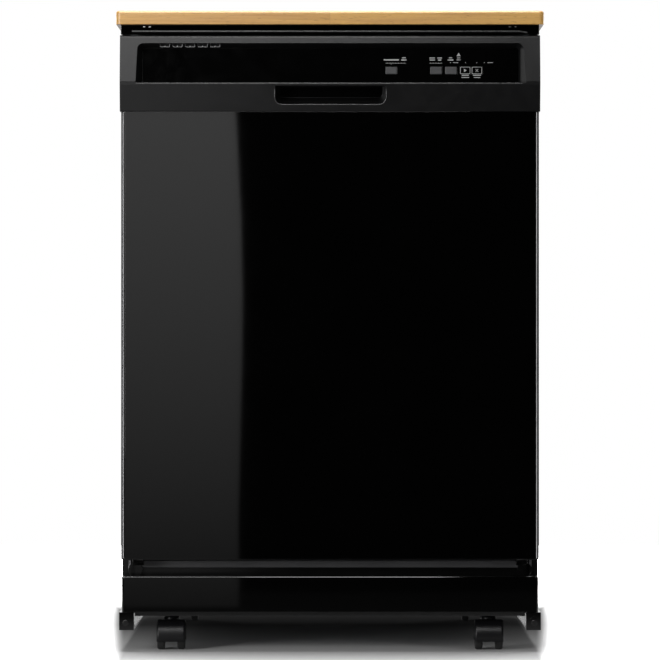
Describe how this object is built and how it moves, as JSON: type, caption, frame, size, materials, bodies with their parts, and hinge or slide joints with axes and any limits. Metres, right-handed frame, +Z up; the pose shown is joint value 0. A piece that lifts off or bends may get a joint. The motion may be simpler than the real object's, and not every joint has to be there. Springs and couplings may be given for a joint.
{
  "type": "portable dishwasher on wheels",
  "caption": "Free-standing dishwasher on swivel casters with a wood worktop, black drop-down door, front controls, sliding racks and spray arms.",
  "frame": {"origin": "floor level, under the middle of the worktop", "axes": "+Z up, door faces -Y, +X to the right seen from the front"},
  "size_m": [0.622, 0.66, 0.932],
  "materials": {
    "wood": "butcher-block wood, satin oil",
    "gloss_black": "gloss black enamel on steel",
    "satin_black": "satin black moulded plastic",
    "black_steel": "black enamel on steel",
    "fascia": "gloss black plastic",
    "button_grey": "grey plastic",
    "caster_black": "black nylon",
    "tread": "hard black rubber",
    "grey_plastic": "grey polypropylene",
    "pale_grey": "pale grey polypropylene",
    "stainless": "stainless sheath",
    "zinc": "zinc-coated steel",
    "seal_rubber": "black rubber",
    "rack_coat": "grey nylon coat on steel wire",
    "nylon": "natural grey nylon",
    "board": "green circuit board",
    "motor": "dark grey motor case"
  },
  "bodies": {
    "cabinet": {"wood_top": "wood", "top_frame": "satin_black", "side_panel_left": "black_steel", "side_panel_right": "black_steel", "rear_panel": "black_steel", "base_rail_left": "black_steel", "base_rail_right": "black_steel", "caster_beam_front": "zinc", "caster_beam_rear": "zinc", "drip_pan": "zinc", "kick_panel": "black_steel", "toe_panel": "black_steel", "tub": "pale_grey", "tub_seal": "seal_rubber", "sump": "grey_plastic", "filter": "grey_plastic", "wash_pump": "motor", "drain_pump": "motor", "inlet_valve": "nylon", "heating_element": "stainless", "feed_tube": "grey_plastic", "rack_guide_left": "nylon", "rack_guide_right": "nylon", "door_strike": "zinc"},
    "float": {"float_cup": "pale_grey"},
    "door": {"door_panel": "gloss_black", "console": "satin_black", "control_fascia": "fascia", "control_board": "board", "door_liner": "pale_grey", "hinge_arm_left": "zinc", "hinge_arm_right": "zinc", "door_latch": "grey_plastic", "door_vent": "grey_plastic", "dispenser_body": "grey_plastic"},
    "lid": {"dispenser_lid": "grey_plastic"},
    "cap": {"rinse_cap": "nylon"},
    "upper_rack": {"upper_rack": "rack_coat"},
    "upper_arm": {"upper_spray_arm": "grey_plastic"},
    "lower_rack": {"lower_rack": "rack_coat", "cutlery_basket": "grey_plastic"},
    "lower_arm": {"lower_spray_arm": "grey_plastic"},
    "button_options": {"button_options": "button_grey"},
    "button_dry": {"button_dry": "button_grey"},
    "button_cycle": {"button_cycle": "button_grey"},
    "button_start": {"button_start": "button_grey"},
    "button_cancel": {"button_cancel": "button_grey"},
    "rack_wheel_front_left": {"rack_wheel_front_left": "grey_plastic"},
    "rack_wheel_rear_left": {"rack_wheel_rear_left": "grey_plastic"},
    "rack_wheel_front_right": {"rack_wheel_front_right": "grey_plastic"},
    "rack_wheel_rear_right": {"rack_wheel_rear_right": "grey_plastic"},
    "caster_front_left": {"caster_hood_front_left": "caster_black"},
    "wheels_front_left": {"caster_wheels_front_left": "tread"},
    "caster_rear_left": {"caster_hood_rear_left": "caster_black"},
    "wheels_rear_left": {"caster_wheels_rear_left": "tread"},
    "caster_front_right": {"caster_hood_front_right": "caster_black"},
    "wheels_front_right": {"caster_wheels_front_right": "tread"},
    "caster_rear_right": {"caster_hood_rear_right": "caster_black"},
    "wheels_rear_right": {"caster_wheels_rear_right": "tread"}
  },
  "joints": [
    {"name": "door_hinge", "type": "hinge", "parent": "cabinet", "child": "door", "pos_m": [0, -0.29, 0.15], "axis": [1, 0, 0], "range_deg": [0, 90], "stiffness_Nm_per_rad": 13, "springref_deg": -5.73},
    {"name": "upper_rack_slide", "type": "slide", "parent": "cabinet", "child": "upper_rack", "axis": [0, -1, 0], "range_m": [0, 0.43]},
    {"name": "lower_rack_slide", "type": "slide", "parent": "cabinet", "child": "lower_rack", "axis": [0, -1, 0], "range_m": [0, 0.14]},
    {"name": "lower_arm_spin", "type": "hinge", "parent": "cabinet", "child": "lower_arm", "pos_m": [0, 0, 0.196], "axis": [0, 0, 1], "continuous": true},
    {"name": "upper_arm_spin", "type": "hinge", "parent": "upper_rack", "child": "upper_arm", "pos_m": [0, 0, 0.4997], "axis": [0, 0, 1], "continuous": true},
    {"name": "float_lift", "type": "slide", "parent": "cabinet", "child": "float", "axis": [0, 0, 1], "range_m": [0, 0.012]},
    {"name": "lid_slide", "type": "slide", "parent": "door", "child": "lid", "axis": [1, 0, 0], "range_m": [0, 0.072]},
    {"name": "cap_turn", "type": "hinge", "parent": "door", "child": "cap", "pos_m": [0.056, -0.26, 0.668], "axis": [0, 1, 0], "range_deg": [0, 90]},
    {"name": "press_options", "type": "slide", "parent": "door", "child": "button_options", "axis": [0, 1, 0], "range_m": [0, 0.001], "stiffness_N_per_m": 200},
    {"name": "press_dry", "type": "slide", "parent": "door", "child": "button_dry", "axis": [0, 1, 0], "range_m": [0, 0.001], "stiffness_N_per_m": 200},
    {"name": "press_cycle", "type": "slide", "parent": "door", "child": "button_cycle", "axis": [0, 1, 0], "range_m": [0, 0.001], "stiffness_N_per_m": 200},
    {"name": "press_start", "type": "slide", "parent": "door", "child": "button_start", "axis": [0, 1, 0], "range_m": [0, 0.001], "stiffness_N_per_m": 200},
    {"name": "press_cancel", "type": "slide", "parent": "door", "child": "button_cancel", "axis": [0, 1, 0], "range_m": [0, 0.001], "stiffness_N_per_m": 200},
    {"name": "roll_front_left", "type": "hinge", "parent": "lower_rack", "child": "rack_wheel_front_left", "pos_m": [-0.2495, -0.163, 0.1923], "axis": [1, 0, 0], "range_deg": [0, 500]},
    {"name": "roll_rear_left", "type": "hinge", "parent": "lower_rack", "child": "rack_wheel_rear_left", "pos_m": [-0.2495, 0.177, 0.1923], "axis": [1, 0, 0], "range_deg": [0, 500]},
    {"name": "roll_front_right", "type": "hinge", "parent": "lower_rack", "child": "rack_wheel_front_right", "pos_m": [0.2495, -0.163, 0.1923], "axis": [1, 0, 0], "range_deg": [0, 500]},
    {"name": "roll_rear_right", "type": "hinge", "parent": "lower_rack", "child": "rack_wheel_rear_right", "pos_m": [0.2495, 0.177, 0.1923], "axis": [1, 0, 0], "range_deg": [0, 500]},
    {"name": "swivel_front_left", "type": "hinge", "parent": "cabinet", "child": "caster_front_left", "pos_m": [-0.2325, -0.264, 0.048], "axis": [0, 0, 1], "continuous": true},
    {"name": "wheels_roll_front_left", "type": "hinge", "parent": "caster_front_left", "child": "wheels_front_left", "pos_m": [-0.2325, -0.277, 0.02], "axis": [1, 0, 0], "continuous": true},
    {"name": "swivel_rear_left", "type": "hinge", "parent": "cabinet", "child": "caster_rear_left", "pos_m": [-0.2325, 0.264, 0.048], "axis": [0, 0, 1], "continuous": true},
    {"name": "wheels_roll_rear_left", "type": "hinge", "parent": "caster_rear_left", "child": "wheels_rear_left", "pos_m": [-0.2325, 0.277, 0.02], "axis": [1, 0, 0], "continuous": true},
    {"name": "swivel_front_right", "type": "hinge", "parent": "cabinet", "child": "caster_front_right", "pos_m": [0.2325, -0.264, 0.048], "axis": [0, 0, 1], "continuous": true},
    {"name": "wheels_roll_front_right", "type": "hinge", "parent": "caster_front_right", "child": "wheels_front_right", "pos_m": [0.2325, -0.277, 0.02], "axis": [1, 0, 0], "continuous": true},
    {"name": "swivel_rear_right", "type": "hinge", "parent": "cabinet", "child": "caster_rear_right", "pos_m": [0.2325, 0.264, 0.048], "axis": [0, 0, 1], "continuous": true},
    {"name": "wheels_roll_rear_right", "type": "hinge", "parent": "caster_rear_right", "child": "wheels_rear_right", "pos_m": [0.2325, 0.277, 0.02], "axis": [1, 0, 0], "continuous": true}
  ],
  "couplings": [
    {"joint": "upper_rack_slide", "follows": "door_hinge", "m_per_rad": 0.27},
    {"joint": "lower_rack_slide", "follows": "door_hinge", "m_per_rad": 0.088},
    {"joint": "roll_front_left", "follows": "door_hinge", "ratio": 5.5},
    {"joint": "roll_rear_left", "follows": "door_hinge", "ratio": 5.5},
    {"joint": "roll_front_right", "follows": "door_hinge", "ratio": 5.5},
    {"joint": "roll_rear_right", "follows": "door_hinge", "ratio": 5.5}
  ]
}
